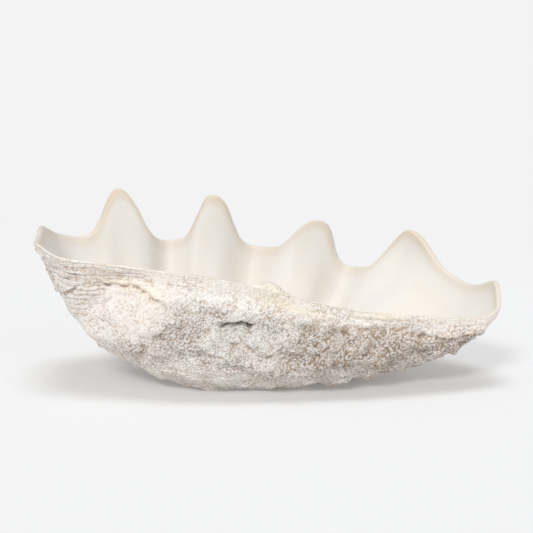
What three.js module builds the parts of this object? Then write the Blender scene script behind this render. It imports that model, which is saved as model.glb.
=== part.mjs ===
// One valve of a giant clam, resting hollow side up on the worn bottom of its bowl.
// Millimetres, +Z up, +Y towards the toothed margin, -Y towards the hinge, X along the shell.
// The valve grew as one piece, so it is one closed body.
//
// It is laid out in its own frame first (the plane where two valves would meet is level there),
// then leaned the way it rests: left end up, toothed margin up.
import * as THREE from 'three';

// ---- how it rests
const LEFT_END_UP_DEG = 8.6;
const TEETH_UP_DEG = 7;
const WORN_FLAT_DEPTH = 4;          // how much of the bottom is worn away flat

// ---- the bowl
const BOWL_BOTTOM = { x: -82, y: -46, z: -180 };   // deepest point of the outside
const FLOOR_THICKNESS = 24;

// ---- stations round the margin, in order from the hinge over the left end, the teeth and the
// right end. x, y, z is the outer edge between teeth. lean is the angle below level, looking
// outwards, at which the outer wall leaves the edge: under 90 it swells out, over 90 it draws in.
// wall and floor are how far the wall and the floor keep their direction, and plate is the width
// of the edge from outside to inside.
const STATIONS = [
  // hinge, over the umbo
  { x: -10, y: -185, z: 6, lean: 60, wall: 115, floor: 170, plate: 46 },
  { x: -115, y: -180, z: 7, lean: 66, wall: 108, floor: 160, plate: 40 },
  { x: -215, y: -165, z: 2, lean: 70, wall: 90, floor: 130, plate: 24 },
  { x: -290, y: -140, z: -5, lean: 108, wall: 105, floor: 150, plate: 13 },
  // left end
  { x: -345, y: -88, z: 10, lean: 122, wall: 105, floor: 150, plate: 8 },
  { x: -340, y: 45, z: -10, lean: 118, wall: 120, floor: 160, plate: 8 },
  { x: -250, y: 140, z: -45, lean: 118, wall: 110, floor: 170, plate: 8 },
  // toothed margin
  { x: -100, y: 200, z: -37, lean: 112, wall: 100, floor: 170, plate: 8 },
  { x: 60, y: 205, z: -34, lean: 112, wall: 100, floor: 170, plate: 8 },
  { x: 215, y: 160, z: -36, lean: 116, wall: 100, floor: 170, plate: 8 },
  { x: 300, y: 60, z: -5, lean: 114, wall: 92, floor: 165, plate: 8 },
  // right end
  { x: 356, y: -72, z: 0, lean: 104, wall: 88, floor: 150, plate: 8 },
  { x: 314, y: -125, z: -12, lean: 82, wall: 90, floor: 138, plate: 13 },
  { x: 190, y: -168, z: -10, lean: 60, wall: 108, floor: 158, plate: 24 },
  { x: 80, y: -184, z: -5, lean: 52, wall: 116, floor: 182, plate: 38 },
];

// ---- the inner wall follows the outer one. Where the edge widens into the hinge plate, its inner
// side lies lower, and the inner wall leaves it at a larger lean and turns sooner.
const THIN_WALL = 8;                // width of the edge at the teeth
const EDGE_STEP = 1;                // how much lower the inner side lies at the teeth
const PLATE_STEP = 0.33;            // how much lower the inner side lies, for each mm of widening
const PLATE_LEAN = 1.25;            // degrees of extra lean for each mm of widening
const INNER_WALL = 0.94;            // inner wall and floor as shares of the outer ones
const INNER_WALL_LOSS = 0.004;
const INNER_FLOOR = 0.82;

// ---- the folds: they fan out from the umbo. Each tooth of the margin stands on a ridge of the
// inside, and each rib of the outside ends in the dip between two teeth.
const FAN_CENTRE = { x: -30, y: -230 };
const RIB_SWELL = 24;               // how far a rib stands out, and a ridge stands in, at the margin
const FAN_REACH = 415;              // from the fan centre to the margin at its farthest bearing
const FAN_REACH_AT_DEG = 20;        // that bearing
const FAN_REACH_LOSS = 0.012;       // how fast the reach shrinks to its sides
const FAN_EDGE_DEG = 82;            // the hinge side has no folds
const FAN_FADE_DEG = 16;
const FIRST_FOLDS = 0.3;            // share of the reach at which the folds begin
const FOLDS_GROW_OVER = 0.3;        // share of the reach over which they grow to their full depth
const MOST_GROWN = 1.06;            // the teeth reach a little past the margin
const STEEP_STEP_DEG = 0.75;        // the slope of the folds is measured over this much to each side
const THICKER_MOST = 11;            // most that is added on the steep side of a fold
const EDGE_CROWN = 0.2;             // the edge is rounded over by this share of its width,
const EDGE_CROWN_MOST = 2.5;        // and by no more than this
// ridge (1) and channel (0) of the inside by bearing: a ridge climbs from a soft crease and falls in a
// smooth curve
const FOLD_LINE = [
  [-78, 0.5], [-54, 0.65], [-39, 0.15], [-23, 0.9], [-15, 0.05], [-7, 1], [3, 0.05],
  [14, 1], [22, 0], [33.5, 1], [54, 0.25], [66, 0.55], [78, 0.5],
];
const TEETH = [
  // bearing from +Y towards +X, height above the dips, half widths at half height, and how blunt
  { at: -62, rise: -20, left: 7, right: 9, blunt: 2.5 },
  { at: -27, rise: 68, left: 3.4, right: 4, blunt: 2 },
  { at: -7.5, rise: 59, left: 2.7, right: 5, blunt: 3 },
  { at: 16.2, rise: 46, left: 4, right: 2.4, blunt: 2.5 },
  { at: 34, rise: 58, left: 1.9, right: 7.5, blunt: 2 },
  { at: 62, rise: 20, left: 5, right: 4.5, blunt: 2 },
];

// ---- the hinge: one blunt tooth on the plate and a shallow socket beside it
const HINGE_TOOTH = { x: 14, y: -168, rise: 13, length: 22, width: 13 };
const HINGE_SOCKET = { x: -44, y: -162, rise: -5, length: 24, width: 10 };

// ---- how finely the skin is divided
const COLUMNS = 144;
const TEETH_DENSITY = 0.45;         // columns stand closer together at the teeth than at the hinge
const OUTER_RINGS = 16;
const EDGE_RINGS = 2;
const INNER_RINGS = 11;

const DEG = Math.PI / 180;
const FIELDS = ['x', 'y', 'z', 'lean', 'wall', 'floor', 'plate'];

// A smooth closed line through all the stations, every field at once.
function stationsAround(count) {
  const n = STATIONS.length;
  const knots = [0];
  for (let i = 0; i < n; i++) {
    const a = STATIONS[i], b = STATIONS[(i + 1) % n];
    knots.push(knots[i] + Math.hypot(b.x - a.x, b.y - a.y, b.z - a.z));
  }
  const out = [];
  for (let c = 0; c < count; c++) {
    const turn = c / count;
    const t = knots[n] * (turn + (TEETH_DENSITY / (2 * Math.PI)) * Math.sin(2 * Math.PI * turn));
    let i = 0;
    while (knots[i + 1] <= t) i++;
    const f = (t - knots[i]) / (knots[i + 1] - knots[i]);
    const row = {};
    for (const k of FIELDS) {
      const p0 = STATIONS[(i + n - 1) % n][k], p1 = STATIONS[i][k];
      const p2 = STATIONS[(i + 1) % n][k], p3 = STATIONS[(i + 2) % n][k];
      row[k] = 0.5 * (2 * p1 + (p2 - p0) * f + (2 * p0 - 5 * p1 + 4 * p2 - p3) * f * f
        + (3 * p1 - p0 - 3 * p2 + p3) * f * f * f);
    }
    out.push(row);
  }
  return out;
}

const smooth = (v) => { const c = Math.min(1, Math.max(0, v)); return c * c * (3 - 2 * c); };

// 1 on a ridge of the inside and 0 in a channel, at a bearing.
function ridgeAt(bearing) {
  const last = FOLD_LINE.length - 1;
  if (bearing <= FOLD_LINE[0][0]) return FOLD_LINE[0][1];
  if (bearing >= FOLD_LINE[last][0]) return FOLD_LINE[last][1];
  let i = 0;
  while (FOLD_LINE[i + 1][0] < bearing) i++;
  const [a, from] = FOLD_LINE[i], [b, to] = FOLD_LINE[i + 1];
  const t = (bearing - a) / (b - a);
  const up = Math.sin((t * Math.PI) / 2);
  return from + (to - from) * (from < to ? 0.5 * (up + up * up) : smooth(t));
}

// How far a point of the fan stands out (swell), how steeply that changes from side to side (steep),
// and how far the point is drawn up towards the margin (rise).
function folds(x, y) {
  const bearing = Math.atan2(x - FAN_CENTRE.x, y - FAN_CENTRE.y) / DEG;
  const reach = FAN_REACH - FAN_REACH_LOSS * (bearing - FAN_REACH_AT_DEG) ** 2;
  const distance = Math.hypot(x - FAN_CENTRE.x, y - FAN_CENTRE.y);
  const grown = Math.min(MOST_GROWN, distance / reach);
  const fan = smooth((FAN_EDGE_DEG - Math.abs(bearing)) / FAN_FADE_DEG);
  let rise = 0;
  for (const tooth of TEETH) {
    const q = (bearing - tooth.at) / (bearing < tooth.at ? tooth.left : tooth.right);
    rise += tooth.rise * Math.exp(-0.693 * Math.abs(q) ** tooth.blunt);
  }
  // close to the umbo the young shell was still smooth
  const folded = RIB_SWELL * grown ** 2 * smooth((grown - FIRST_FOLDS) / FOLDS_GROW_OVER) * fan;
  const change = ridgeAt(bearing + STEEP_STEP_DEG) - ridgeAt(bearing - STEEP_STEP_DEG);
  const steep = (2 * folded * change) / (2 * STEEP_STEP_DEG * DEG * distance);
  return { swell: folded * (1 - 2 * ridgeAt(bearing)), steep, rise: rise * grown ** 3 * fan };
}

// The curve of one wall in the upright plane through the bowl's bottom and a place of the margin:
// s runs from the middle of the floor (0) to the edge (1). r, z is the place, tr, tz the direction.
function wallCurve(station, far, s, inner) {
  const widening = Math.max(0, station.plate - THIN_WALL);
  const edgeR = inner ? far - station.plate : far;
  const edgeZ = inner ? station.z - EDGE_STEP - PLATE_STEP * widening : station.z;
  const floorZ = inner ? BOWL_BOTTOM.z + FLOOR_THICKNESS : BOWL_BOTTOM.z;
  const lean = (station.lean + (inner ? PLATE_LEAN * widening : 0)) * DEG;
  const wall = station.wall * (inner ? INNER_WALL - INNER_WALL_LOSS * widening : 1);
  const floorR = station.floor * (inner ? INNER_FLOOR : 1);
  const wallR = edgeR + wall * Math.cos(lean), wallZ = edgeZ - wall * Math.sin(lean);
  const a = 1 - s;
  const tr = 3 * a * a * floorR + 6 * a * s * (wallR - floorR) + 3 * s * s * (edgeR - wallR);
  const tz = 6 * a * s * (wallZ - floorZ) + 3 * s * s * (edgeZ - wallZ);
  const len = Math.hypot(tr, tz) || 1;
  return {
    r: 3 * a * a * s * floorR + 3 * a * s * s * wallR + s ** 3 * edgeR,
    z: (a ** 3 + 3 * a * a * s) * floorZ + 3 * a * s * s * wallZ + s ** 3 * edgeZ,
    tr: tr / len,
    tz: tz / len,
  };
}

// A point of the outer or inner wall. Both walls fold alike, so the inner wall takes the folds of the
// outer wall behind it, and on the steep side of a fold it stands further in, which keeps the thickness.
function wallPoint(station, s, inner) {
  const dx = station.x - BOWL_BOTTOM.x, dy = station.y - BOWL_BOTTOM.y;
  const far = Math.hypot(dx, dy);
  const ux = dx / far, uy = dy / far;
  const outside = wallCurve(station, far, s, false);
  const { r, z } = inner ? wallCurve(station, far, s, true) : outside;
  const { tr, tz } = outside;
  const fold = folds(BOWL_BOTTOM.x + outside.r * ux, BOWL_BOTTOM.y + outside.r * uy);
  const thicker = inner ? Math.min(THICKER_MOST, THIN_WALL * (Math.hypot(1, fold.steep) - 1)) : 0;
  const swell = fold.swell - thicker, rise = fold.rise;
  const out = r + swell * tz + rise * tr;
  return new THREE.Vector3(BOWL_BOTTOM.x + out * ux, BOWL_BOTTOM.y + out * uy, z - swell * tr + rise * tz);
}

function bump(p, spot) {
  const q = ((p.x - spot.x) / spot.length) ** 2 + ((p.y - spot.y) / spot.width) ** 2;
  p.z += spot.rise * Math.exp(-q);
}

function valveGeometry() {
  const around = stationsAround(COLUMNS);
  // rings run from the outer bottom, over the edge, to the inner bottom
  const rings = [];
  for (let j = 1; j <= OUTER_RINGS; j++) {
    rings.push(around.map((st) => wallPoint(st, j / OUTER_RINGS, false)));
  }
  const outerEdge = rings[rings.length - 1];
  const innerEdge = around.map((st) => wallPoint(st, 1, true));
  for (let j = 1; j <= EDGE_RINGS; j++) {
    const f = j / (EDGE_RINGS + 1);
    rings.push(outerEdge.map((p, c) => {
      const q = p.clone().lerp(innerEdge[c], f);
      q.z += Math.min(EDGE_CROWN_MOST, around[c].plate * EDGE_CROWN);
      return q;
    }));
  }
  rings.push(innerEdge);
  for (let j = 1; j < INNER_RINGS; j++) {
    rings.push(around.map((st) => wallPoint(st, 1 - j / INNER_RINGS, true)));
  }
  for (let r = OUTER_RINGS; r < rings.length; r++) {
    for (const p of rings[r]) {
      bump(p, HINGE_TOOTH);
      bump(p, HINGE_SOCKET);
    }
  }

  const rest = new THREE.Matrix4().makeRotationX(TEETH_UP_DEG * DEG)
    .multiply(new THREE.Matrix4().makeRotationY(LEFT_END_UP_DEG * DEG));
  const points = rings.flat();
  const bottom = new THREE.Vector3(BOWL_BOTTOM.x, BOWL_BOTTOM.y, BOWL_BOTTOM.z);
  const inside = bottom.clone().setZ(BOWL_BOTTOM.z + FLOOR_THICKNESS);
  points.push(bottom, inside);
  points.forEach((p) => p.applyMatrix4(rest));

  // wear the bottom flat, then stand the shell on z = 0 with its box centred on the origin
  const box = new THREE.Box3().setFromPoints(points);
  const worn = box.min.z + WORN_FLAT_DEPTH;
  const cx = (box.min.x + box.max.x) / 2, cy = (box.min.y + box.max.y) / 2;
  for (const p of points) p.set(p.x - cx, p.y - cy, Math.max(0, p.z - worn));

  const positions = new Float32Array(points.length * 3);
  points.forEach((p, i) => p.toArray(positions, i * 3));
  const at = (ring, column) => ring * COLUMNS + (column % COLUMNS);
  const faces = [];
  const bottomIndex = points.length - 2, insideIndex = points.length - 1;
  for (let c = 0; c < COLUMNS; c++) {
    faces.push(bottomIndex, at(0, c), at(0, c + 1));
    for (let r = 0; r < rings.length - 1; r++) {
      const a = at(r, c), b = at(r, c + 1), d = at(r + 1, c), e = at(r + 1, c + 1);
      // split each patch along its shorter diagonal
      if (points[a].distanceTo(points[e]) < points[b].distanceTo(points[d])) faces.push(a, d, e, a, e, b);
      else faces.push(a, d, b, b, d, e);
    }
    faces.push(insideIndex, at(rings.length - 1, c + 1), at(rings.length - 1, c));
  }
  const geometry = new THREE.BufferGeometry();
  geometry.setAttribute('position', new THREE.BufferAttribute(positions, 3));
  geometry.setIndex(faces);
  geometry.computeVertexNormals();
  return geometry;
}

const shell = new THREE.Mesh(
  valveGeometry(),
  new THREE.MeshStandardMaterial({ name: 'shell', color: 0xe8e0d6, roughness: 0.8, metalness: 0 }),
);
shell.name = 'shell';

const valve = new THREE.Group();
valve.name = 'giant_clam_valve';
valve.add(shell);

export default valve;
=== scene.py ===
# %% [markdown]
# # One valve of a giant clam
# A giant clam grows two thick valves that meet at a hinge. This lesson builds one of them, lying on
# its worn bottom with the hollow side up. The valve is a single grown body, so it is modelled as a
# single mesh: a plain turned bowl comes first, and it is then moved, in stages that follow the way
# the shell grew, into the real shape.

# %% Load the measured frame
import math

import bmesh
import bpy
import numpy as np
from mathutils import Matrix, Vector, noise


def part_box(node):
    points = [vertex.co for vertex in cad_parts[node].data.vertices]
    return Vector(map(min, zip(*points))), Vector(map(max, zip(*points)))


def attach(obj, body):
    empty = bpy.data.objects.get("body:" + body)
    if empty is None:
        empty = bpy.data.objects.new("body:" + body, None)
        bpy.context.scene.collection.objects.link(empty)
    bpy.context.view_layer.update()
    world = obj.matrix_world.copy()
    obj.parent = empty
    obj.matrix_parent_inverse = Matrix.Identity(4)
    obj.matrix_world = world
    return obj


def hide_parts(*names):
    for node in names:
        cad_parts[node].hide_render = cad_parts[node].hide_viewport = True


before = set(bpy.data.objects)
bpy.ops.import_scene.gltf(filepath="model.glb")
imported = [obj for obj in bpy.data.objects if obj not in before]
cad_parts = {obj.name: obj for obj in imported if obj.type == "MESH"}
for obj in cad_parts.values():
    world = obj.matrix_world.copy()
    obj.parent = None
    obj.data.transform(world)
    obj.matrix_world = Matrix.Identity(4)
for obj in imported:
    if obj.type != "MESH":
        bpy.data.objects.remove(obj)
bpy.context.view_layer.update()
low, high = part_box("shell")
centre = (low + high) / 2
MM = 0.001
print("the valve measures", [round(v * 1000) for v in (high - low)], "mm")

# %% [markdown]
# ## Where the valve is seen from
# The camera stands on the hinge side, a little above the rim, so that both the rough outside and the
# white inside show. A long lens keeps the toothed margin from shrinking behind the hinge. It is
# placed from the valve's own box, and aimed slightly above its middle.

# %% Camera
CAMERA_RISE = math.radians(8)
CAMERA_AWAY = 2.23
aim = centre + Vector((0, -0.013, 0.028))
camera_data = bpy.data.cameras.new("camera")
camera_data.lens = 100
camera_data.sensor_width = 36
camera = bpy.data.objects.new("camera", camera_data)
bpy.context.scene.collection.objects.link(camera)
camera.location = aim + CAMERA_AWAY * Vector((0, -math.cos(CAMERA_RISE), math.sin(CAMERA_RISE)))
camera.rotation_euler = (math.pi / 2 - CAMERA_RISE, 0, 0)
bpy.context.scene.camera = camera
print("camera stands at", [round(v, 3) for v in camera.location])

# %% [markdown]
# ## The plain bowl
# Every point of a shell can be named by two things: where it lies round the margin, and how far it
# is down the wall. A turned bowl has exactly that layout, so the mesh starts as one: a profile that
# runs from the middle of the bottom up the outside, over the edge and down the inside is spun
# through a full turn. Each point keeps its ring number, which later says whether it is outside, on
# the edge or inside. Sculpting a sphere by hand would also work, but its faces would not follow the
# growth lines.

# %% Turn the bowl
COLUMNS = 460
OUTER, EDGE, INNER = 164, 6, 38
RINGS = OUTER + EDGE + INNER + 1

bowl = bmesh.new()
ring_of = bowl.verts.layers.int.new("ring")
profile = []
for ring in range(RINGS):
    if ring <= OUTER:
        turn, radius = ring / OUTER, 0.35
    elif ring < OUTER + EDGE:
        turn, radius = 1, 0.35 - 0.02 * (ring - OUTER) / EDGE
    else:
        turn, radius = (RINGS - 1 - ring) / INNER, 0.33
    angle = turn * math.pi / 2
    point = bowl.verts.new((radius * math.sin(angle), 0, 0.35 - radius * math.cos(angle)))
    point[ring_of] = ring
    profile.append(point)
walls = [bowl.edges.new(pair) for pair in zip(profile, profile[1:])]
bmesh.ops.spin(
    bowl,
    geom=profile + walls,
    cent=(0, 0, 0),
    axis=(0, 0, 1),
    angle=math.tau,
    steps=COLUMNS,
    use_merge=True,
)
bmesh.ops.remove_doubles(bowl, verts=bowl.verts, dist=1e-6)
bowl.verts.index_update()
ring_index = np.array([v[ring_of] for v in bowl.verts])
turned = np.array([v.co[:] for v in bowl.verts])
column_index = np.round(np.arctan2(turned[:, 1], turned[:, 0]) / math.tau * COLUMNS).astype(int) % COLUMNS
print("turned bowl:", len(bowl.verts), "points,", len(bowl.faces), "faces")

# %% [markdown]
# ## The margin
# The valve's edge is a long closed line: nearly straight along the hinge, round at both ends and
# arched along the toothed side. Fifteen stations describe it, in millimetres, in the valve's own
# level frame. Each also says how the outer wall leaves the edge: lean is its angle below level
# (under 90 degrees it swells out, over 90 it draws in), and wall and floor are how far the wall and
# the floor keep their direction. plate is the width of the edge. The same stations made the
# measured solid.

# %% Stations round the margin
FIELDS = ("x", "y", "z", "lean", "wall", "floor", "plate")
STATIONS = np.array(
    [
        (-10, -185, 6, 60, 115, 170, 46),  # hinge, over the umbo
        (-115, -180, 7, 66, 108, 160, 40),
        (-215, -165, 2, 70, 90, 130, 24),
        (-290, -140, -5, 108, 105, 150, 13),
        (-345, -88, 10, 122, 105, 150, 8),  # left end
        (-340, 45, -10, 118, 120, 160, 8),
        (-250, 140, -45, 118, 110, 170, 8),
        (-100, 200, -37, 112, 100, 170, 8),  # toothed margin
        (60, 205, -34, 112, 100, 170, 8),
        (215, 160, -36, 116, 100, 170, 8),
        (300, 60, -5, 114, 92, 165, 8),
        (356, -72, 0, 104, 88, 150, 8),  # right end
        (314, -125, -12, 82, 90, 138, 13),
        (190, -168, -10, 60, 108, 158, 24),
        (80, -184, -5, 52, 116, 182, 38),
    ],
    float,
)
HINGE_SIDE_DENSITY = 0.32


def around(stations, count):
    """The stations' fields on a smooth closed line, closer together near the hinge."""
    gaps = np.linalg.norm(np.roll(stations, -1, 0)[:, :3] - stations[:, :3], axis=1)
    knots = np.concatenate([[0], np.cumsum(gaps)])
    turn = np.arange(count) / count
    turn = turn - HINGE_SIDE_DENSITY / math.tau * np.sin(math.tau * turn)
    place = turn * knots[-1]
    at = np.searchsorted(knots, place, side="right") - 1
    f = ((place - knots[at]) / gaps[at])[:, None]
    n = len(stations)
    p0, p1 = stations[(at - 1) % n], stations[at]
    p2, p3 = stations[(at + 1) % n], stations[(at + 2) % n]
    cubic = (2 * p0 - 5 * p1 + 4 * p2 - p3) * f**2 + (3 * p1 - p0 - 3 * p2 + p3) * f**3
    return 0.5 * (2 * p1 + (p2 - p0) * f + cubic)


margin = dict(zip(FIELDS, around(STATIONS, COLUMNS).T))
print("margin from x", round(margin["x"].min()), "to", round(margin["x"].max()), "mm")

# %% [markdown]
# ## The folds
# The shell grew outwards from the umbo, beside the hinge, and its folds fan out from there. Each rib
# of the outside ends in a dip of the margin, and each ridge of the inside ends in a tooth. A fold
# gets taller with distance from the umbo, which is why the bottom of the bowl is almost smooth.
# Two numbers per point are enough: how far it stands out, and how far it is drawn up to the margin.

# %% Fan of folds
FAN_CENTRE = (-30, -230)
FAN_REACH = 415  # mm from the fan's centre to the margin, at the bearing below
FAN_REACH_BEARING = 20
FAN_REACH_LOSS = 0.012  # mm for each square degree away from that bearing
FAN_LIMIT = 82  # degrees to either side, where the folds have faded out
FAN_FADE = 16
FOLDS_START = 0.3  # share of the reach where the folds begin, and over which they set in
GROWN_LIMIT = 1.06
SLOPE_SPAN = 0.75  # degrees to either side, for the steepness of a fold
HALVING = 0.693  # makes a tooth half as high at its half width
RIB_SWELL = 24
CREASE_TURNS = (-2.2, -1.1, 0, 1.1, 2.2)  # the creases are rounded over these bearings
FOLD_LINE = np.array(  # bearing from +Y towards +X, and 1 for a ridge of the inside, 0 for a channel
    [(-78, 0.5), (-54, 0.65), (-39, 0.15), (-23, 0.9), (-15, 0.05), (-7, 1), (3, 0.05), (14, 1),
     (22, 0), (33.5, 1), (54, 0.25), (66, 0.55), (78, 0.5)]
)
TEETH = (  # bearing from +Y towards +X, height, half widths to the left and right, how blunt
    (-62, -20, 7, 9, 2.5),
    (-27, 68, 3.4, 4, 2),
    (-7.5, 59, 2.7, 5, 3),
    (16.2, 46, 4, 2.4, 2.5),
    (34, 58, 1.9, 7.5, 2),
    (62, 20, 5, 4.5, 2),
)


def ease(v):
    """0 below 0, 1 above 1 and a smooth step between."""
    v = np.clip(v, 0, 1)
    return v * v * (3 - 2 * v)


def ridge_at(bearing):
    """Ridge or channel at a bearing: a ridge climbs from a soft crease and falls in a smooth curve."""
    at = np.clip(np.searchsorted(FOLD_LINE[:, 0], bearing) - 1, 0, len(FOLD_LINE) - 2)
    (a, start), (b, end) = FOLD_LINE[at].transpose(2, 0, 1), FOLD_LINE[at + 1].transpose(2, 0, 1)
    share = np.clip((bearing - a) / (b - a), 0, 1)
    up = np.sin(share * math.pi / 2)
    climb = np.where(start < end, 0.5 * (up + up * up), ease(share))
    return start + (end - start) * climb


def folds(x, y):
    """How far each point stands out, how steeply that changes sideways, and how far it is drawn up."""
    bearing = np.degrees(np.arctan2(x - FAN_CENTRE[0], y - FAN_CENTRE[1]))
    reach = FAN_REACH - FAN_REACH_LOSS * (bearing - FAN_REACH_BEARING) ** 2
    distance = np.hypot(x - FAN_CENTRE[0], y - FAN_CENTRE[1])
    grown = np.minimum(GROWN_LIMIT, distance / reach)
    fan = ease((FAN_LIMIT - np.abs(bearing)) / FAN_FADE)
    rise = np.zeros_like(x)
    for at, height, left, right, blunt in TEETH:
        q = (bearing - at) / np.where(bearing < at, left, right)
        rise += height * np.exp(-HALVING * np.abs(q) ** blunt)
    folded = RIB_SWELL * grown**2 * ease((grown - FOLDS_START) / FOLDS_START) * fan
    change = ridge_at(bearing + SLOPE_SPAN) - ridge_at(bearing - SLOPE_SPAN)
    steep = 2 * folded * change / (np.radians(2 * SLOPE_SPAN) * distance)
    rounded = sum(ridge_at(bearing + turn) for turn in CREASE_TURNS) / len(CREASE_TURNS)
    return folded * (1 - 2 * rounded), steep, rise * grown**3 * fan


# %% [markdown]
# ## The walls
# Between the margin and the middle of the floor each wall is one smooth curve, the same kind of
# curve that a drawing program draws with two handles. The outer and the inner wall have their own,
# so the shell is thick at the hinge and thin at the teeth. The folds are added square to the wall.
# The inner wall follows the outer one: where the edge widens into the hinge plate, its inner side
# lies lower, and the wall leaves it more steeply and turns sooner.

# %% Outer wall, edge and inner wall
BOTTOM = np.array([-82.0, -46.0, -180.0])
FLOOR_THICKNESS = 24
THIN_WALL = 8
PLATE_STEP = 0.33
PLATE_LEAN = 1.25
INNER_WALL = 0.94
INNER_WALL_LOSS = 0.004
INNER_FLOOR = 0.82
EDGE_STEP = 1
THICKENING = 8  # the inner wall moves in by this much for each unit of steepness
MOST_THICKENING = 11
CROWN = 3.5  # how far the rounded edge stands up, at most
CROWN_SHARE = 0.35


def curve(share, inner):
    """One wall's curve for each column: distance out, height, and the upward direction."""
    m, s = margin, share[None, :]
    widening = np.maximum(0, m["plate"] - THIN_WALL) if inner else 0
    edge_r = m["far"] - m["plate"] if inner else m["far"]
    edge_z = m["z"] - EDGE_STEP - PLATE_STEP * widening if inner else m["z"]
    floor_z = BOTTOM[2] + (FLOOR_THICKNESS if inner else 0)
    lean = np.radians(m["lean"] + PLATE_LEAN * widening)
    grip = m["wall"] * (INNER_WALL - INNER_WALL_LOSS * widening if inner else 1)
    wall_r = (edge_r + grip * np.cos(lean))[:, None]
    wall_z = (edge_z - grip * np.sin(lean))[:, None]
    floor_r = (m["floor"] * (INNER_FLOOR if inner else 1))[:, None]
    edge_r, edge_z = edge_r[:, None], edge_z[:, None]
    a = 1 - s
    r = 3 * a * a * s * floor_r + 3 * a * s * s * wall_r + s**3 * edge_r
    z = (a**3 + 3 * a * a * s) * floor_z + 3 * a * s * s * wall_z + s**3 * edge_z
    tr = 3 * a * a * floor_r + 6 * a * s * (wall_r - floor_r) + 3 * s * s * (edge_r - wall_r)
    tz = 6 * a * s * (wall_z - floor_z) + 3 * s * s * (edge_z - wall_z)
    length = np.hypot(tr, tz)
    return r, z, tr / length, tz / length


def wall(share, inner):
    """Points of one wall, and its upward directions; both walls take the folds of the outer one."""
    out = np.stack([margin["x"] - BOTTOM[0], margin["y"] - BOTTOM[1]], 1)
    margin["far"] = np.linalg.norm(out, axis=1)
    out = out / margin["far"][:, None]
    outer_r, _, tr, tz = curve(share, inner=False)
    r, z, up_r, up_z = curve(share, inner)
    swell, steep, rise = folds(BOTTOM[0] + outer_r * out[:, :1], BOTTOM[1] + outer_r * out[:, 1:])
    if inner:
        swell = swell - np.minimum(MOST_THICKENING, THICKENING * (np.hypot(1, steep) - 1))
    r = r + swell * tz + rise * tr
    height = z - swell * tr + rise * tz
    points = np.stack([BOTTOM[0] + r * out[:, :1], BOTTOM[1] + r * out[:, 1:], height], -1)
    upwards = np.stack([up_r * out[:, :1], up_r * out[:, 1:], up_z], -1)
    return points, upwards


outer, outer_up = wall(np.arange(OUTER + 1) / OUTER, inner=False)
inner, inner_up = wall(np.arange(INNER, -1, -1) / INNER, inner=True)
middle = (outer[:, -1] + inner[:, 0]) / 2
half = (outer[:, -1] - inner[:, 0]) / 2
crown = np.minimum(CROWN, margin["plate"] * CROWN_SHARE)[:, None] * outer_up[:, -1]
edge = np.stack(
    [middle + half * math.cos(t) + crown * math.sin(t) for t in np.arange(1, EDGE) * math.pi / EDGE], 1
)
grid = np.concatenate([outer, edge, inner], 1)
ring_up = np.concatenate([outer_up, np.repeat(outer_up[:, -1:], EDGE - 1, 1), inner_up], 1)
print("walls laid out on a grid of", grid.shape[0], "columns by", grid.shape[1], "rings")

# %% [markdown]
# ## Coordinates that follow the growth
# Growth layers run along the margin and crowd together at the umbo, so the sculpting needs two more
# numbers for every point: how far it lies below the margin along the wall, and which growth layer
# it belongs to. The layer number is the share of that distance in the way back to the umbo.

# %% Depth below the margin and growth layer
UMBO = np.array([-40.0, -195.0])
UMBO_DEPTH = 180
steps = np.linalg.norm(np.diff(outer, axis=1), axis=-1)
below = np.concatenate([np.cumsum(steps[:, ::-1], 1)[:, ::-1], np.zeros((COLUMNS, 1))], 1)
from_umbo = np.hypot(np.hypot(margin["x"] - UMBO[0], margin["y"] - UMBO[1]), UMBO_DEPTH)[:, None]
growth = below / (below + from_umbo)
side_x, side_y, side_z = outer[..., 0], outer[..., 1], outer[..., 2]
hinge_side = ease((-40 - margin["y"]) / 70)[:, None] * np.ones_like(below)
print("walls are", round(below.max()), "mm long at most")


# %% [markdown]
# ## Square to the surface
# Most detail is pushed out of, or sunk into, the wall. That needs the direction square to the
# surface at every point, found from the neighbours along the two directions of the grid.

# %% Surface directions
def square_to(points):
    """Unit vectors square to the grid, pointing out of the shell wall."""
    along = np.roll(points, -1, 0) - np.roll(points, 1, 0)
    down = np.gradient(points, axis=1)
    n = np.cross(along, down)
    return n / (np.linalg.norm(n, axis=-1, keepdims=True) + 1e-9)


facing = square_to(grid)
outward = (facing[..., 2] * np.where(np.arange(grid.shape[1]) < OUTER - 20, 1, 0)).sum()
if outward > 0:
    facing = -facing
print("floor faces down:", outward < 0 or facing[:, 20, 2].mean() < 0)

# %% [markdown]
# ## Uneven by nature
# Nothing on a shell is even, so every feature is disturbed by noise. Noise is taken at the points'
# places in space, with a fixed offset for each use, so it gives the same shell every time.


# %% Noise helpers
def clouds(points, size, offset, octaves=2):
    """Smooth uneven values, about -1 to 1, with patches about size mm across."""
    places = (points.reshape(-1, 3) / size + offset).tolist()
    values = [noise.fractal(Vector(p), 1.0, 2.1, octaves) for p in places]
    return np.array(values).reshape(points.shape[:-1])


def grains(points, size, offset):
    """Rounded grains about size mm across: 1 on a grain's top, 0 in the gaps."""
    places = (points.reshape(-1, 3) / size + offset).tolist()
    values = [noise.voronoi(Vector(p))[0] for p in places]
    near = np.array([v[0] for v in values])
    gap = np.array([v[1] for v in values]) - near
    return (ease(gap / 0.45) * (1 - 0.6 * near)).reshape(points.shape[:-1])


wander = clouds(outer, 60, 3.7)
wander_fine = clouds(outer, 17, 9.2)
print("noise ready for", outer.shape[0] * outer.shape[1], "points")

# %% [markdown]
# ## Growth layers
# Each season the animal added a thin sheet at the margin, and the sheets' edges still stand out,
# most clearly near the left end, where wear has not reached them. A saw-tooth of the growth number
# gives them: the surface swells slowly away from the margin and then drops in a sharp little step.

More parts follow.
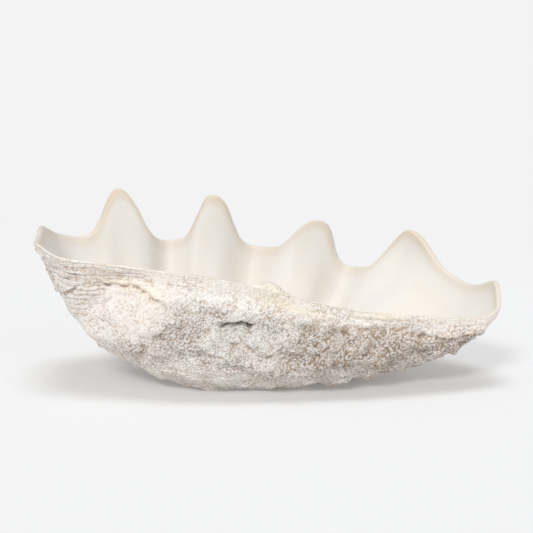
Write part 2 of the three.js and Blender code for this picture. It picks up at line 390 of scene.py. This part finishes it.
# %% Layers
LAYER = 0.018
ragged = 0.5 * clouds(outer, 26, 2.9, 3)
phase = growth / LAYER + 0.5 * wander + ragged
number = np.floor(phase)
step = phase - number
thickness = np.abs(np.sin(number * 12.9898) * 43758.5453) % 1
sheet = step**1.4 * ease((1 - step) / 0.2)
uneven = 0.85 + 0.5 * clouds(outer, 70, 5.1)
LAYER_HEIGHT = 3.4
layer_size = LAYER_HEIGHT * np.clip(from_umbo / 300, 0.2, 1.1) * np.clip(uneven, 0.2, 1.6)
layer_size *= 0.35 + 0.9 * thickness
left_end = ease((-95 - side_x) / 110) * hinge_side
left_layers = left_end * ease((30 + 110 * ease((-185 - side_x) / 110) - below) / 22)
rim_layers = hinge_side * ease((24 - below) / 14) * 0.45
far_layers = (1 - hinge_side) * 0.8
layer_mask = np.maximum(np.maximum(left_layers, rim_layers), far_layers)
layers = sheet * layer_size * layer_mask * (0.35 + 0.65 * ease(below / 7))
print("tallest layer step", round(layers.max(), 1), "mm")


# %% [markdown]
# ## Ledges and ridges
# Some lines stand out alone: a cord-like arch near the left end, thick sheets beside it, the lip of a
# small cave under the umbo, knobby shelves around that, and the swollen band and toe of the right
# half of the margin. Each is a line of a few points, given as place along the shell and depth below
# the margin. The surface rises to the line from above, falls away sharply under it, and may be drawn
# down over the hollow as a lip. Wear has broken most of them up; whole says how little.


# %% Ledges
def ledge(line, rise, above, sharp, hollow, reach, curl=0.0, whole=0.25):
    """Height of a ledge and how far its lip is drawn down, in mm."""
    xs, depths = np.array(line, float).T
    e = below - np.interp(side_x, xs, depths) - min(3.5, sharp) * wander_fine
    ends = ease((side_x - xs[0] + 5) / 12) * ease((xs[-1] + 5 - side_x) / 12) * (side_y < -40)
    over = rise * np.exp(-((np.minimum(e, 0) / above) ** 2)) * np.exp(-((np.maximum(e, 0) / sharp) ** 2))
    under = hollow * ease(e / sharp) * np.exp(-((np.maximum(e - sharp, 0) / reach) ** 2))
    lip = curl * np.exp(-((e / sharp) ** 2))
    broken = whole + (1 - whole) * ease(0.55 + 1.6 * wander_fine + 1.2 * ragged)
    return (over - under) * ends * broken, lip * ends * broken


LEDGES = (
    # the cord-like arch, then the fainter arc inside it
    dict(
        line=((-290, 75), (-265, 40), (-240, 25), (-170, 20), (-125, 45)),
        rise=6, above=5, sharp=2.5, hollow=7, reach=9, curl=2,
    ),
    dict(line=((-230, 60), (-195, 38), (-160, 28)), rise=3, above=8, sharp=2.5, hollow=3, reach=8),
    # thick sheets at the left end, each with a dark cleft under it
    dict(line=((-325, 14), (-295, 6), (-190, 5)), rise=2.4, above=4, sharp=1.6, hollow=5, reach=3.5, curl=2),
    dict(
        line=((-310, 33), (-290, 18), (-240, 15), (-195, 9)),
        rise=2.6, above=4, sharp=1.6, hollow=5, reach=3.5, curl=2,
    ),
    dict(
        line=((-310, 46), (-290, 30), (-230, 22), (-200, 15)),
        rise=2, above=4, sharp=1.6, hollow=3.5, reach=3.5, curl=1,
    ),
    dict(line=((-165, 10), (-130, 14), (-95, 12)), rise=1.6, above=5, sharp=1.5, hollow=3.5, reach=3, curl=1),
    # the small cave under the umbo: a short thick lip over a deep hole
    dict(
        line=((-50, 60), (-38, 51), (-20, 47), (-4, 49)),
        rise=5, above=12, sharp=2.5, hollow=15, reach=8, curl=5, whole=0.9,
    ),
    # knobby shelves of the eroded middle
    dict(line=((-140, 88), (-110, 70), (-80, 60)), rise=6, above=11, sharp=5, hollow=5, reach=12, curl=2),
    dict(line=((-100, 100), (-60, 98), (-30, 104)), rise=6, above=13, sharp=5, hollow=7, reach=12, curl=3),
    dict(line=((-38, 84), (-15, 78), (5, 82)), rise=4, above=9, sharp=4, hollow=5, reach=9, curl=2),
    dict(line=((5, 92), (50, 76), (95, 68)), rise=3.5, above=13, sharp=5, hollow=5, reach=12, curl=1),
    # the swollen band along the right half of the margin, the cleft in it and the toe at its end
    dict(line=((35, 24), (120, 23), (160, 19), (245, 2)), rise=4, above=12, sharp=7, hollow=8, reach=24),
    dict(line=((120, 10), (175, 8), (218, 3)), rise=1.2, above=4, sharp=1.5, hollow=3, reach=3, curl=1),
    dict(
        line=((225, 14), (252, 22), (300, 24), (335, 10)),
        rise=6, above=9, sharp=4, hollow=7, reach=14, curl=2,
    ),
)
ledges = np.zeros_like(below)
lips = np.zeros_like(below)
for feature in LEDGES:
    height, lip = ledge(**feature)
    ledges += height
    lips += lip
print(len(LEDGES), "ledges, from", round(ledges.min(), 1), "to", round(ledges.max(), 1), "mm")

# %% [markdown]
# ## How rough each place is
# Worms, sponges and waves have eaten the rest of the outside into a crumbly, chalky crust. It is
# roughest in the middle of the hinge side. It is gentler towards the left end, the bottom, the toe at
# the right end and the far ribs, and where growth layers are still whole. A weathered patch on the
# right half is rougher again.

# %% Roughness
left_smooth = ease((-95 - side_x) / 60) * ease((75 + 0.7 * (-95 - side_x) - below) / 45)
crumble = (0.4 + 0.6 * ease((below - 22) / 26)) * hinge_side + 0.5 * (1 - hinge_side)
crumble *= 1 - 0.85 * left_smooth * hinge_side
crumble *= 1 - 0.55 * ease((below - 112) / 40)
crumble *= 1 - 0.35 * layer_mask
# The weathered patch on the lower right half is rougher. The finish also paints it tanner and darker, partly
# its own tan and partly painted shade on faces that turn down and away from the light.
weathered_and_shaded = ease((side_x - 30) / 90) * ease((below - 26 + 0.09 * (side_x - 60)) / 18) * hinge_side
weathered_and_shaded *= 1 - 0.85 * ease((below - 70) / 40)
crumble += 0.25 * weathered_and_shaded
crumble *= 1 - 0.5 * ease((side_x - 225) / 30) * ease((42 - below) / 15)
print("roughness from", round(crumble.min(), 2), "to", round(crumble.max(), 2))

# %% [markdown]
# ## The eroded crust
# The relief has four sizes: broad lumps, knobs a finger wide, a crumbled rubble, and grains the size
# of barley that lie in slanting rows. Pits may go deep only where the wall behind them is thick.

# %% Crust
BROAD_LUMP_HEIGHT = 4.5
LUMP_HEIGHT = 5.0
KNOB_HEIGHT = 12.5
GRAIN_HEIGHT = 2.0
GRAIN_SIZE = 9.0
RUBBLE_HEIGHT = 2.8
CRUST_SINK = 2.0  # the whole relief sits this much deeper, so that it is half out and half in
THIN_WALL_PIT = 1.0
THICK_WALL_PIT = 14
DIAGONAL = math.radians(35)

broad_lumps = BROAD_LUMP_HEIGHT * clouds(outer, 85, 11.3) * ease((below - 10) / 60)
lumps = broad_lumps + LUMP_HEIGHT * clouds(outer, 45, 13.6) * ease((below - 25) / 40)
knobs = KNOB_HEIGHT * np.maximum(0, clouds(outer, 27, 17.9, 3) + 0.05) * ease((below - 20) / 30)
knobs *= 0.3 + 0.7 * ease((240 - side_x) / 120) * hinge_side
along = side_x * math.cos(DIAGONAL) + side_z * math.sin(DIAGONAL)
across = side_z * math.cos(DIAGONAL) - side_x * math.sin(DIAGONAL)
slanted = np.stack([along * 0.85, side_y, across], -1) + 2.0 * wander_fine[..., None]
grain_field = grains(slanted, GRAIN_SIZE, 23.1)
rubble = 1 - 2.2 * np.abs(clouds(slanted, 24, 27.7, 3))
small = (GRAIN_HEIGHT * grain_field + RUBBLE_HEIGHT * rubble) * ease((below - 3) / 10)
crust = crumble * (knobs + small)
thick = ease((-60 - side_y) / 60) * ease((below - 12) / 30) + ease((below - 150) / 60)
thin_edge = ease(np.maximum((-300 - side_x) / 30, (-20 - side_y) / -60))
outside_height = layers + ledges + lumps + crust - CRUST_SINK
outside_height = outside_height * (1 - thin_edge * ease(1 - below / 14))
outside_height = np.maximum(outside_height, -THIN_WALL_PIT - THICK_WALL_PIT * np.clip(thick, 0, 1))
print("crust from", round(outside_height.min(), 1), "to", round(outside_height.max(), 1), "mm")

# %% [markdown]
# ## Hinge, scars and a worn edge
# The inside is smooth as porcelain. It still carries marks: the blunt hinge tooth on the plate and
# the socket beside it, and the oval scar where the big closing muscle held on. The edge itself is
# slightly chipped and uneven.


# %% Inside and edge
def spot(points, x, y, length, width, turn=0.0):
    """1 at a place in plan, fading to 0 at an oval's edge."""
    c, s = math.cos(math.radians(turn)), math.sin(math.radians(turn))
    dx, dy = points[..., 0] - x, points[..., 1] - y
    return np.exp(-(((dx * c + dy * s) / length) ** 2) - ((dy * c - dx * s) / width) ** 2)


rim = grid[:, OUTER:]
rim_height = np.zeros(rim.shape[:2])
fade = np.concatenate([1 - np.arange(EDGE) / EDGE, np.zeros(INNER + 1)])[None, :]
rim_height += outside_height[:, -1:] * fade
chips = clouds(rim, 22, 41.3, 3)
edge_zone = np.concatenate([np.ones(EDGE + 1), ease(1 - np.arange(1, INNER + 1) / 3)])[None, :]
rim_height += 0.9 * chips * edge_zone
tooth = spot(rim, 14, -168, 22, 13) * ease((rim[..., 2] + 60) / 30)
socket = spot(rim, -44, -162, 24, 10) * ease((rim[..., 2] + 60) / 30)
scar = ease((spot(rim, 70, 10, 62, 44, 20) - 0.35) / 0.12) * (rim[..., 2] < -60)
print("edge and inside marked")

# %% [markdown]
# ## All the relief at once
# The outside's relief and the edge's are pushed out square to the surface. A lip is drawn down along
# the wall instead. The tooth, the socket and the scar lie on nearly level ground, so they are only
# raised or sunk.

# %% Put the heights together
TOOTH_HEIGHT = 13
SOCKET_DEPTH = 5
SCAR_DEPTH = 0.9
grid[:, : OUTER + 1] += outside_height[..., None] * facing[:, : OUTER + 1]
grid[:, : OUTER + 1] -= lips[..., None] * ring_up[:, : OUTER + 1]
grid[:, OUTER + 1 :] += rim_height[:, 1:, None] * facing[:, OUTER + 1 :]
grid[:, OUTER + 1 :, 2] += (TOOTH_HEIGHT * tooth - SOCKET_DEPTH * socket - SCAR_DEPTH * scar)[:, 1:]
print("grid spans", np.round(grid.reshape(-1, 3).max(0) - grid.reshape(-1, 3).min(0)), "mm")

# %% [markdown]
# ## At rest
# The valve leans with its left end and its teeth a little up, and the spot it stands on is worn
# flat. It is turned from its own level frame, set on the measured solid's box, and everything that
# would reach below the floor is pressed level with it.

# %% Lean, place and wear flat
LEFT_UP, TEETH_UP = math.radians(8.6), math.radians(7)
about_y = np.array(
    [[math.cos(LEFT_UP), 0, math.sin(LEFT_UP)], [0, 1, 0], [-math.sin(LEFT_UP), 0, math.cos(LEFT_UP)]]
)
about_x = np.array(
    [[1, 0, 0], [0, math.cos(TEETH_UP), -math.sin(TEETH_UP)], [0, math.sin(TEETH_UP), math.cos(TEETH_UP)]]
)
lean = about_x @ about_y
smooth_box = np.concatenate([outer.reshape(-1, 3), edge.reshape(-1, 3), inner.reshape(-1, 3)]) @ lean.T
shift = -(smooth_box.max(0) + smooth_box.min(0)) / 2
shift[2] = high.z / MM - smooth_box[:, 2].max()
placed = grid @ lean.T + shift
placed[..., 2] = np.maximum(placed[..., 2], 0)
print("moved by", np.round(shift, 1), "mm")

# %% [markdown]
# ## From grid to mesh
# The turned bowl's points now take their places, and its faces are shared between the two finishes:
# the crust covers the outside, the edge of the outside and the hinge plate, and the rest is porcelain.

# %% Build the mesh
HINGE_EDGE = low.y + 0.06
places = placed[column_index, ring_index] * MM
for vert, place in zip(bowl.verts, places):
    vert.co = place
bmesh.ops.remove_doubles(bowl, verts=bowl.verts[:], dist=1e-9)
bmesh.ops.recalc_face_normals(bowl, faces=bowl.faces)
for face in bowl.faces:
    face.smooth = True
    deepest = max(face.verts, key=lambda v: v[ring_of])
    in_hinge = deepest.co.y < HINGE_EDGE and deepest[ring_of] <= OUTER + EDGE + 1
    face.material_index = 0 if deepest[ring_of] <= OUTER + 1 or in_hinge else 1
mesh = bpy.data.meshes.new("clam_valve")
bowl.to_mesh(mesh)
bowl.free()
valve = bpy.data.objects.new("clam_valve", mesh)
bpy.context.scene.collection.objects.link(valve)
print("valve:", len(mesh.vertices), "points,", sum(len(p.vertices) - 2 for p in mesh.polygons), "triangles")


# %% [markdown]
# ## What the finish needs to know
# The mesh carries some of what was worked out above as attributes: depth below the margin, how deep a
# point lies in the crust, the layer number, how crumbly or layered the place is, the weathered patch
# that the finish paints tanner and darker (partly its own tan, partly painted shade), the deepest
# pits that it paints dark as painted shade, a few warm stained spots, and the tips of the teeth.


# %% Attributes for the finish
def store(name, values):
    """A number for every point, from a value for every column and ring."""
    stored = mesh.attributes.new(name, "FLOAT", "POINT")
    stored.data.foreach_set("value", values[column_index, ring_index].astype(np.float32))


def store_outside(name, outside_values, inside_value=0.0):
    """A number for every point: the outside's values carried over the edge, and one value inside."""
    whole = np.full((COLUMNS, RINGS), float(inside_value))
    whole[:, : OUTER + 1] = outside_values
    whole[:, OUTER + 1 : OUTER + EDGE + 3] = outside_values[:, -1:]
    store(name, whole)


local = layers + ledges + crust
around_it = local.copy()
for _ in range(6):
    around_it = (around_it + np.roll(around_it, 1, 0) + np.roll(around_it, -1, 0)) / 3
    around_it[:, 1:-1] = (around_it[:, :-2] + around_it[:, 1:-1] + around_it[:, 2:]) / 3
WARM_SPOTS = (  # place along the shell, depth below the margin, length and width, in mm
    (-205, 21, 45, 4),
    (-150, 29, 16, 5),
    (20, 10, 30, 9),
    (175, 5, 40, 6),
    (60, 18, 40, 7),
)
warm = np.zeros_like(below)
for place_x, depth, length, width in WARM_SPOTS:
    oval = np.exp(-(((side_x - place_x) / length) ** 2) - ((below - depth) / width) ** 2)
    warm += oval * (side_y < -40)
TALL_TOOTH = 70
rim_lift = np.clip(folds(rim[:, :1, 0], rim[:, :1, 1])[2], 0, TALL_TOOTH) / TALL_TOOTH
rings_inside = np.maximum(0, np.arange(EDGE + INNER + 1) - EDGE)
tip = np.zeros((COLUMNS, RINGS))
tip[:, OUTER:] = (0.45 + 0.55 * rim_lift) * ease(1 - rings_inside / 2.5)[None, :]
store_outside("below", below)
# how far a point lies below its surroundings; the finish paints these hollows tan and darker, partly dust and
# partly painted shade
store_outside("hollow", np.clip((around_it - local) / 2.5, -1, 1))
store_outside("layer", phase)
store_outside("crumble", crumble)
store_outside("sheets", layer_mask)
# the weathered patch, which the finish paints tanner and darker: partly its own tan, partly painted shade
store_outside("weathered_and_shaded", weathered_and_shaded)
# the deepest pits, which the finish paints dark: painted shade in the cave, with a little dirt
store_outside("painted_pit_shade", np.clip((-ledges - 5) / 6, 0, 1))
store_outside("warm", np.clip(warm, 0, 1), 0.3)
store("tip", tip)
print("attributes:", [a.name for a in mesh.attributes if a.domain == "POINT"])

# %% [markdown]
# ## Building materials from nodes
# Each finish is a small tree of nodes. A few helpers keep the trees readable: they add a node with its
# settings and inputs, add up weighted parts, read an attribute, blend two colours, and make a node
# group with named sockets for an effect that both finishes use.


# %% Node helpers
def add(tree, kind, settings=None, **inputs):
    """A node of that kind; inputs are values or another node's output sockets."""
    made = tree.nodes.new(kind)
    for name, value in (settings or {}).items():
        setattr(made, name, value)
    for name, value in inputs.items():
        by_number = name[0] == "n" and name[1:].isdigit()
        socket = made.inputs[int(name[1:]) if by_number else name.replace("_", " ")]
        if isinstance(value, bpy.types.NodeSocket):
            tree.links.new(value, socket)
        else:
            socket.default_value = value
    return made


def math_node(tree, operation, a, b=0.0, clamp=False):
    """One sum on two values or sockets."""
    return add(tree, "ShaderNodeMath", {"operation": operation, "use_clamp": clamp}, n0=a, n1=b).outputs[0]


def weighted_sum(tree, parts, start=0.0, clamp=False):
    """start plus value times weight for each of the parts, held between 0 and 1 if clamp is set."""
    total = start
    for number, (value, weight) in enumerate(parts, 1):
        share = math_node(tree, "MULTIPLY", value, weight)
        total = math_node(tree, "ADD", total, share, clamp=clamp and number == len(parts))
    return total


def attribute(tree, name):
    """A number that the mesh carries."""
    return add(tree, "ShaderNodeAttribute", {"attribute_name": name}).outputs["Fac"]


def blend_colours(tree, share, a, b):
    """A colour between a and b."""
    made = tree.nodes.new("ShaderNodeMix")
    made.data_type = "RGBA"
    for socket, value in ((made.inputs[0], share), (made.inputs[6], a), (made.inputs[7], b)):
        if isinstance(value, bpy.types.NodeSocket):
            tree.links.new(value, socket)
        else:
            socket.default_value = value
    return made.outputs[2]


def ramp(tree, value, low, high):
    """0 where value is under low, 1 where it is over high, smooth between."""
    made = add(tree, "ShaderNodeMapRange", {"interpolation_type": "SMOOTHSTEP"}, Value=value)
    made.inputs["From Min"].default_value = low
    made.inputs["From Max"].default_value = high
    return made.outputs["Result"]


def new_group(name, inputs, outputs):
    """An empty node group with named sockets, and its two end nodes."""
    group = bpy.data.node_groups.new(name, "ShaderNodeTree")
    for socket_name, kind, default in inputs:
        socket = group.interface.new_socket(socket_name, in_out="INPUT", socket_type=kind)
        socket.default_value = default
    for socket_name, kind in outputs:
        group.interface.new_socket(socket_name, in_out="OUTPUT", socket_type=kind)
    return group, group.nodes.new("NodeGroupInput"), group.nodes.new("NodeGroupOutput")


def new_material(name):
    """An empty node material with its Principled shader."""
    material = bpy.data.materials.new(name)
    material.use_nodes = True
    tree = material.node_tree
    tree.nodes.clear()
    shader = tree.nodes.new("ShaderNodeBsdfPrincipled")
    end = tree.nodes.new("ShaderNodeOutputMaterial")
    tree.links.new(shader.outputs["BSDF"], end.inputs["Surface"])
    return material, tree, shader


# %% [markdown]
# ## Mottled lime
# Shell lime is never one colour: it drifts between ivory, cold white and a warm tan, in patches from
# a hand wide down to a grain. Both the crust and the inside use this effect, with their own
# strength, so it is a group. It reads Object coordinates, in metres, so the patches keep their size.

# %% Mottle group
mottle, mottle_in, mottle_out = new_group(
    "mottled lime",
    [("Base", "NodeSocketColor", (0.8, 0.76, 0.7, 1)), ("Tint", "NodeSocketColor", (0.7, 0.6, 0.48, 1)),
     ("Patch Strength", "NodeSocketFloat", 0.3), ("Speck Strength", "NodeSocketFloat", 0.1)],
    [("Color", "NodeSocketColor")],
)
where = mottle.nodes.new("ShaderNodeTexCoord").outputs["Object"]
patches = add(mottle, "ShaderNodeTexNoise", None, Vector=where, Scale=9.0, Detail=4.0, Roughness=0.6)
specks = add(mottle, "ShaderNodeTexNoise", None, Vector=where, Scale=170.0, Detail=3.0, Roughness=0.65)
patch_places = ramp(mottle, patches.outputs["Fac"], 0.42, 0.7)
speck_places = ramp(mottle, specks.outputs["Fac"], 0.5, 0.72)
patch_share = math_node(mottle, "MULTIPLY", patch_places, mottle_in.outputs["Patch Strength"])
speck_share = math_node(mottle, "MULTIPLY", speck_places, mottle_in.outputs["Speck Strength"])
share = math_node(mottle, "ADD", patch_share, speck_share, clamp=True)
mottled_colour = blend_colours(mottle, share, mottle_in.outputs["Base"], mottle_in.outputs["Tint"])
mottle.links.new(mottled_colour, mottle_out.inputs["Color"])


def mottled(tree, base, tint, patch, speck):
    """The mottle group placed in a material with its own colours and strengths."""
    made = tree.nodes.new("ShaderNodeGroup")
    made.node_tree = mottle
    made.inputs["Base"].default_value = (*base, 1)
    made.inputs["Tint"].default_value = (*tint, 1)
    made.inputs["Patch Strength"].default_value = patch
    made.inputs["Speck Strength"].default_value = speck
    return made.outputs["Color"]


print("group made:", mottle.name)

# %% [markdown]
# ## Patterns of the crust
# Grains too small for the mesh are left to the finish. It has cells for the crumbs, rubble noise in
# the same slanting rows as the mesh's grains, fine specks, and broad patches where the crust is more
# worn than elsewhere.

# %% Crust patterns
crust_material, tree, shader = new_material("chalky crust")
coords = tree.nodes.new("ShaderNodeTexCoord").outputs["Object"]
slant = add(tree, "ShaderNodeMapping", {"vector_type": "TEXTURE"}, Vector=coords)
slant.inputs["Rotation"].default_value = (0, -DIAGONAL, 0)
slant.inputs["Scale"].default_value = (1.2, 1, 1)
rows = slant.outputs["Vector"]
crumbs = add(tree, "ShaderNodeTexVoronoi", {"feature": "F1"}, Vector=rows, Scale=290.0)
crumb_distance = crumbs.outputs["Distance"]
rubble_node = add(tree, "ShaderNodeTexNoise", None, Vector=rows, Scale=150.0, Detail=5.0, Roughness=0.7)
rubble_noise = rubble_node.outputs["Fac"]
speck_node = add(tree, "ShaderNodeTexNoise", None, Vector=coords, Scale=380.0, Detail=2.0, Roughness=0.6)
fine_specks = speck_node.outputs["Fac"]
worn_node = add(tree, "ShaderNodeTexNoise", None, Vector=coords, Scale=26.0, Detail=2.0, Roughness=0.55)
worn = ramp(tree, worn_node.outputs["Fac"], 0.42, 0.6)
layer_value = attribute(tree, "layer")
sheets_value = attribute(tree, "sheets")
# the weathered patch: partly its own tan, partly painted shade
weathered_and_shaded_value = attribute(tree, "weathered_and_shaded")
print("crust patterns:", len(tree.nodes), "nodes")

# %% [markdown]
# ## Colour of the crust
# The outside is dry, matt lime. The hollows, the gaps between the crumbs and the clefts between
# layers are painted tan and darker: partly dust and old algae, partly painted shade where shadow
# falls in them. Dust also tans the underside a little. The weathered patch on the right half is
# painted tanner and darker too, partly its own tan and partly painted shade. A creamy band follows
# the edge, a few spots are warmer, and the deepest pits are painted dark: painted shade, with a
# little dirt.

# %% Crust colour
STAIN_AND_SHADE = (0.62, 0.46, 0.33, 1)
EDGE_CREAM = (0.92, 0.86, 0.75, 1)
WARM_LIME = (0.93, 0.84, 0.66, 1)
# painted shade for the deepest pits, with a little dirt
PAINTED_PIT_SHADE = (0.3, 0.25, 0.2, 1)
lime = mottled(tree, (0.985, 0.955, 0.925), (0.9, 0.81, 0.72), 0.3, 0.4)
# The clefts at the foot and the lip of each growth layer are painted tan and darker: tan stain and painted
# shade under the sheets' edges.
layer_part = math_node(tree, "FRACT", layer_value)
layer_foot = ramp(tree, layer_part, 0.2, 0.0)
layer_lip = ramp(tree, layer_part, 0.86, 1.0)
cleft = math_node(tree, "ADD", layer_foot, layer_lip, clamp=True)
cleft_share = math_node(tree, "MULTIPLY", sheets_value, 0.6)
# Between the crumbs the colour is painted tan and darker, more in worn places and in the weathered patch:
# partly dust, partly painted shade.
gap_stain_and_shade = weighted_sum(tree, ((weathered_and_shaded_value, 0.35), (worn, 0.4)), start=0.22)
object_height = add(tree, "ShaderNodeSeparateXYZ", None, Vector=coords).outputs["Z"]
# Tan stain and painted shade: the hollows, the gaps between crumbs, the clefts and the weathered patch are
# darkened where shadow falls in them, as well as stained. The rubble and the specks are the lime's own tone,
# and dust tans the underside.
stain_and_shade_parts = (
    (ramp(tree, attribute(tree, "hollow"), 0.2, 1.0), 0.38),
    (ramp(tree, crumb_distance, 0.45, 0.75), gap_stain_and_shade),
    (ramp(tree, rubble_noise, 0.5, 0.36), 0.25),
    (ramp(tree, fine_specks, 0.54, 0.68), 0.3),
    (weathered_and_shaded_value, 0.1),
    (cleft, cleft_share),
    (ramp(tree, object_height, 0.12, 0.0), 0.06),
)
colour = blend_colours(tree, weighted_sum(tree, stain_and_shade_parts, clamp=True), lime, STAIN_AND_SHADE)
edge_band = ramp(tree, attribute(tree, "below"), 12.0, 1.0)
for place, strength, tone in (
    (edge_band, 0.4, EDGE_CREAM),
    (attribute(tree, "warm"), 0.6, WARM_LIME),
    # the deepest pits: painted shade, with a little dirt
    (attribute(tree, "painted_pit_shade"), 0.75, PAINTED_PIT_SHADE),
):
    colour = blend_colours(tree, math_node(tree, "MULTIPLY", place, strength), colour, tone)
tree.links.new(colour, shader.inputs["Base Color"])
shader.inputs["Roughness"].default_value = 0.92
shader.inputs["Specular IOR Level"].default_value = 0.2
print("material made:", crust_material.name)

# %% [markdown]
# ## Fine relief of the crust
# The same crumbs, rubble and specks also raise the surface, through a bump. Crumbs are rounded on top,
# and they are strongest where the crust is crumbly and worn. Where growth layers are whole, a noise
# that is stretched along them gives their fine lines instead.

# %% Crust bump
rounded_crumb = math_node(tree, "SUBTRACT", 1.0, math_node(tree, "POWER", crumb_distance, 1.6))
crumb_height = weighted_sum(tree, ((rubble_noise, 0.5),), start=rounded_crumb)
worn_gain = weighted_sum(tree, ((worn, 0.6),), start=1.2)
crumb_share = weighted_sum(tree, ((attribute(tree, "crumble"), worn_gain),), start=0.06)
layer_step = math_node(tree, "MULTIPLY", layer_value, 2.5)
layer_place = add(tree, "ShaderNodeCombineXYZ", None, X=layer_step, Y=0.0, Z=0.0).outputs[0]
stretch = {"operation": "MULTIPLY_ADD"}
stretched = add(tree, "ShaderNodeVectorMath", stretch, n0=coords, n1=(12.0, 12.0, 12.0), n2=layer_place)
lines_at = stretched.outputs[0]
lines = add(tree, "ShaderNodeTexNoise", None, Vector=lines_at, Scale=1.2, Detail=2.0, Roughness=0.55)
relief_parts = (
    (crumb_height, crumb_share),
    (fine_specks, 0.3),
    (lines.outputs["Fac"], math_node(tree, "MULTIPLY", sheets_value, 1.6)),
)
relief = weighted_sum(tree, relief_parts)
bump = add(tree, "ShaderNodeBump", None, Height=relief, Strength=1.0, Distance=0.0032)
tree.links.new(bump.outputs["Normal"], shader.inputs["Normal"])
print("crust finish:", len(tree.nodes), "nodes")

# %% [markdown]
# ## Porcelain inside
# The inside was laid down last, layer on thin layer, and polished by the animal's mantle. It is
# smooth ivory white with faint warm clouds, a touch yellower on the tips of the teeth and along the
# edge, and it has a soft gloss rather than a mirror's.

# %% Inside material
inside_material, tree, shader = new_material("porcelain inside")
coords = tree.nodes.new("ShaderNodeTexCoord").outputs["Object"]
ivory = mottled(tree, (0.8, 0.77, 0.73), (0.77, 0.7, 0.62), 0.5, 0.06)
TIP_TAN = (0.7, 0.59, 0.44, 1)
tip_share = math_node(tree, "MULTIPLY", attribute(tree, "tip"), 0.85)
tipped = blend_colours(tree, tip_share, ivory, TIP_TAN)
tree.links.new(tipped, shader.inputs["Base Color"])
soft = add(tree, "ShaderNodeTexNoise", None, Vector=coords, Scale=60.0, Detail=3.0, Roughness=0.5)
gloss = add(tree, "ShaderNodeMapRange", None, Value=soft.outputs["Fac"])
gloss.inputs["To Min"].default_value = 0.38
gloss.inputs["To Max"].default_value = 0.6
tree.links.new(gloss.outputs["Result"], shader.inputs["Roughness"])
shader.inputs["Specular IOR Level"].default_value = 0.35
bump = add(tree, "ShaderNodeBump", None, Height=soft.outputs["Fac"], Strength=0.25, Distance=0.0008)
tree.links.new(bump.outputs["Normal"], shader.inputs["Normal"])
mesh.materials.append(crust_material)
mesh.materials.append(inside_material)
print("material made:", inside_material.name)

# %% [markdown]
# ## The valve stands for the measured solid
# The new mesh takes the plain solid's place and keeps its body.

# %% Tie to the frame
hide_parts("shell")
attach(valve, "root")
print("valve rides on root")

# %% [markdown]
# ## Pale floor
# The floor is a wide disc that fades out into a pale background of the same tone, so it has no edge
# from any side. It glows very faintly, which brings its tone up to the background's.

# %% Floor
FLOOR_RADIUS = 3.0
floor_mesh = bpy.data.meshes.new("floor")
disc = bmesh.new()
bmesh.ops.create_circle(disc, cap_ends=True, segments=96, radius=FLOOR_RADIUS)
disc.to_mesh(floor_mesh)
disc.free()
floor = bpy.data.objects.new("floor", floor_mesh)
floor.location = (0, 0, 0)
bpy.context.scene.collection.objects.link(floor)
floor_material, tree, shader = new_material("pale floor")
coords = tree.nodes.new("ShaderNodeTexCoord").outputs["Object"]
distance = add(tree, "ShaderNodeVectorMath", {"operation": "LENGTH"}, n0=coords).outputs["Value"]
tree.links.new(ramp(tree, distance, 1.6, 0.7), shader.inputs["Alpha"])
shader.inputs["Base Color"].default_value = (0.735, 0.74, 0.745, 1)
shader.inputs["Emission Color"].default_value = (1, 1, 1, 1)
shader.inputs["Emission Strength"].default_value = 0.12
shader.inputs["Roughness"].default_value = 1.0
shader.inputs["Specular IOR Level"].default_value = 0.0
floor_mesh.materials.append(floor_material)

# %% [markdown]
# ## Soft studio light
# The light is that of a white studio, bright all round. The main lamp stands behind the viewer, high
# and a little to the left, and shows the folds. A very broad one on the right, nearly level, lightens
# the lower outside, and one overhead gives the soft shadow on the floor.

# %% Light
BACKGROUND = 0.896
world = bpy.data.worlds.new("studio")
bpy.context.scene.world = world
world.use_nodes = True
tree = world.node_tree
tree.nodes.clear()
end = tree.nodes.new("ShaderNodeOutputWorld")
seen = add(tree, "ShaderNodeBackground", None, Color=(BACKGROUND, BACKGROUND, BACKGROUND, 1), Strength=1.0)
lighting = add(tree, "ShaderNodeBackground", None, Color=(0.985, 0.99, 1.0, 1), Strength=0.52)
path = tree.nodes.new("ShaderNodeLightPath")
both = tree.nodes.new("ShaderNodeMixShader")
tree.links.new(path.outputs["Is Camera Ray"], both.inputs[0])
tree.links.new(lighting.outputs[0], both.inputs[1])
tree.links.new(seen.outputs[0], both.inputs[2])
tree.links.new(both.outputs[0], end.inputs["Surface"])


def lamp(name, towards, power, spread, colour=(1, 1, 1)):
    """A distant lamp that shines along towards; spread is its softness in degrees."""
    data = bpy.data.lights.new(name, "SUN")
    data.energy = power
    data.angle = math.radians(spread)
    data.color = colour
    made = bpy.data.objects.new(name, data)
    made.rotation_euler = Vector(towards).to_track_quat("-Z", "Y").to_euler()
    bpy.context.scene.collection.objects.link(made)


lamp("key", (0.24, 0.79, -0.53), 1.28, 14, (1, 0.99, 0.97))
lamp("bounce", (-0.7, 0.65, 0.05), 0.5, 70)
lamp("top", (0.03, -0.1, -1), 1.0, 26)
bpy.context.scene.view_settings.view_transform = "Standard"
bpy.context.scene.view_settings.look = "None"
print("stage and light set")
